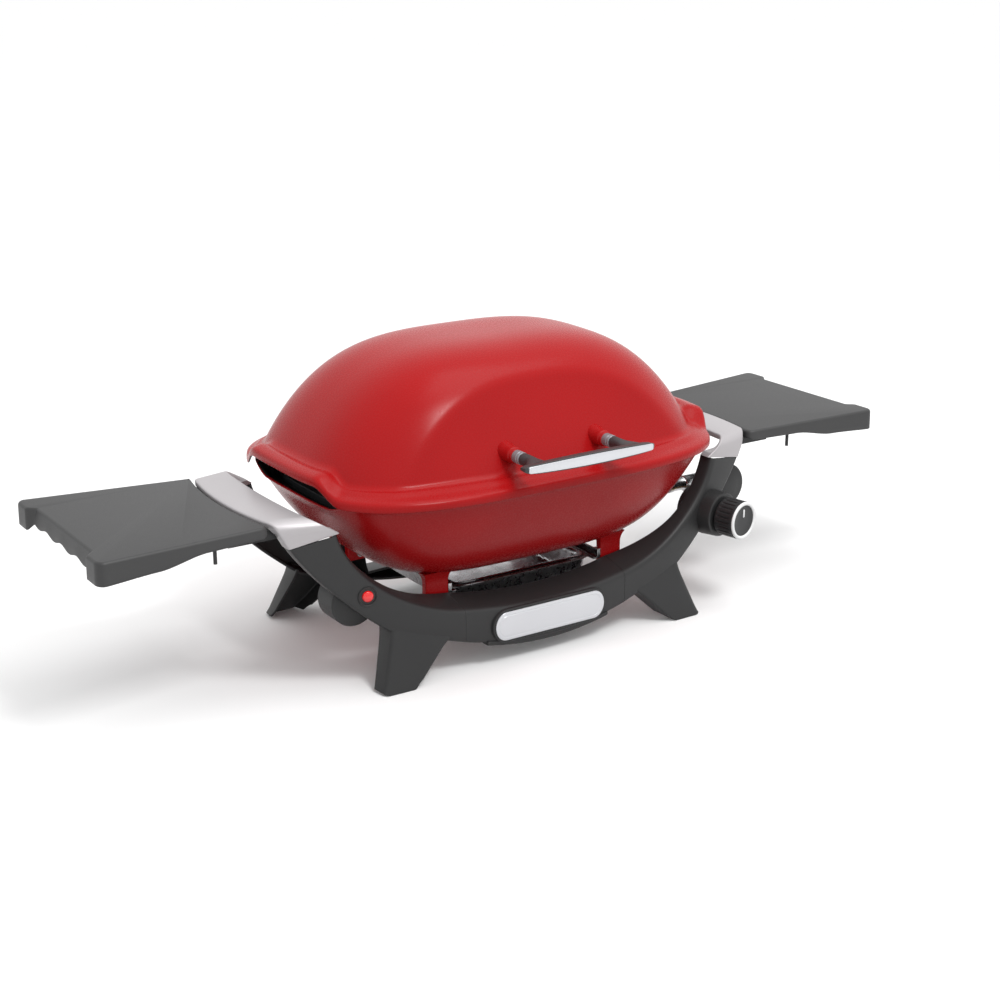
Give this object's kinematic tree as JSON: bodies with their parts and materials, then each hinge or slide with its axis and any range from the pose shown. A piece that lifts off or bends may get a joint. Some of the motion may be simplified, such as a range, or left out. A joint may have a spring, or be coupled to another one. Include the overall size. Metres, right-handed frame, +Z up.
{
  "type": "gas barbecue grill",
  "caption": "Tabletop gas barbecue grill with a hinged domed lid and bow handle, a cookbox on a curved four-legged frame, and folding side tables.",
  "frame": {"origin": "on the ground, under the middle of the whole grill", "axes": "+X to the right along the length, +Y to the back, +Z up"},
  "size_m": [1.3, 0.5175, 0.44],
  "materials": {
    "red_enamel": "satin red enamel on cast aluminium",
    "frame_plastic": "dark grey fine-textured glass-filled nylon",
    "table_plastic": "grey fine-textured moulding",
    "silver_plastic": "warm light grey satin moulding",
    "grip_plastic": "dark matt moulding",
    "knob_plastic": "black ribbed moulding",
    "ring_white": "pale satin ring",
    "button_red": "glossy red",
    "button_grey": "dark grey",
    "bright_aluminium": "satin anodised",
    "ferrule_metal": "grey satin",
    "steel": "brushed stainless",
    "pan_metal": "bright sheet",
    "foil": "bright foil",
    "brass": "machined",
    "cast_iron": "matt porcelain-coated"
  },
  "bodies": {
    "frame": {"front_beam": "frame_plastic", "rear_beam": "frame_plastic", "front_left_arm": "frame_plastic", "front_right_arm": "frame_plastic", "rear_left_arm": "frame_plastic", "rear_right_arm": "frame_plastic", "left_end_handle": "silver_plastic", "right_end_handle": "silver_plastic", "nameplate": "bright_aluminium", "post_bolts": "steel", "cookbox": "red_enamel", "cookbox_posts": "red_enamel", "hinge_brackets": "red_enamel", "hinge_pins": "steel", "burner": "steel", "venturi": "steel", "burner_posts": "steel", "igniter_electrode": "steel", "catch_pan_rails": "steel", "valve": "brass", "gas_feed_tube": "steel", "regulator": "frame_plastic", "regulator_outlet": "brass", "igniter_module": "button_grey", "left_table_pins": "steel", "right_table_pins": "steel"},
    "lid": {"hinge_lugs": "red_enamel", "lid": "red_enamel", "handle_bosses": "red_enamel", "handle_ferrules": "ferrule_metal", "handle_grip": "grip_plastic", "handle_insert": "bright_aluminium"},
    "left_grate": {"left_grate": "cast_iron"},
    "right_grate": {"right_grate": "cast_iron"},
    "catch_pan": {"catch_pan": "pan_metal", "drip_pan": "foil"},
    "collar": {"thrust_collar": "steel"},
    "knob": {"valve_stem": "brass", "knob": "knob_plastic", "knob_ring": "ring_white"},
    "button": {"igniter_button": "button_red"},
    "left_table": {"left_table": "table_plastic", "left_table_brackets": "frame_plastic", "left_table_pegs": "frame_plastic"},
    "right_table": {"right_table": "table_plastic", "right_table_brackets": "frame_plastic", "right_table_pegs": "frame_plastic"}
  },
  "joints": [
    {"name": "lid_hinge", "type": "hinge", "parent": "frame", "child": "lid", "pos_m": [0, 0.251, 0.252], "axis": [-1, 0, 0], "range_deg": [0, 80]},
    {"name": "left_grate_lift", "type": "slide", "parent": "frame", "child": "left_grate", "axis": [0, 0, 1], "range_m": [0, 0.025]},
    {"name": "right_grate_lift", "type": "slide", "parent": "frame", "child": "right_grate", "axis": [0, 0, 1], "range_m": [0, 0.025]},
    {"name": "catch_pan_slide", "type": "slide", "parent": "frame", "child": "catch_pan", "axis": [0, 1, 0], "range_m": [0, 0.2]},
    {"name": "knob_push", "type": "slide", "parent": "frame", "child": "collar", "axis": [-0.2062, 0.9785, 0], "range_m": [0, 0.003], "stiffness_N_per_m": 800},
    {"name": "knob_turn", "type": "hinge", "parent": "collar", "child": "knob", "pos_m": [0.322, -0.12681, 0.144], "axis": [0.2062, -0.9785, 0], "range_deg": [0, 200]},
    {"name": "button_push", "type": "slide", "parent": "frame", "child": "button", "axis": [0.1799, 0.9837, 0], "range_m": [0, 0.003], "stiffness_N_per_m": 500},
    {"name": "left_table_fold", "type": "hinge", "parent": "frame", "child": "left_table", "pos_m": [-0.386, 0.018, 0.236], "axis": [0, -1, 0], "range_deg": [0, 55]},
    {"name": "right_table_fold", "type": "hinge", "parent": "frame", "child": "right_table", "pos_m": [0.386, 0.018, 0.236], "axis": [0, 1, 0], "range_deg": [0, 55]}
  ]
}
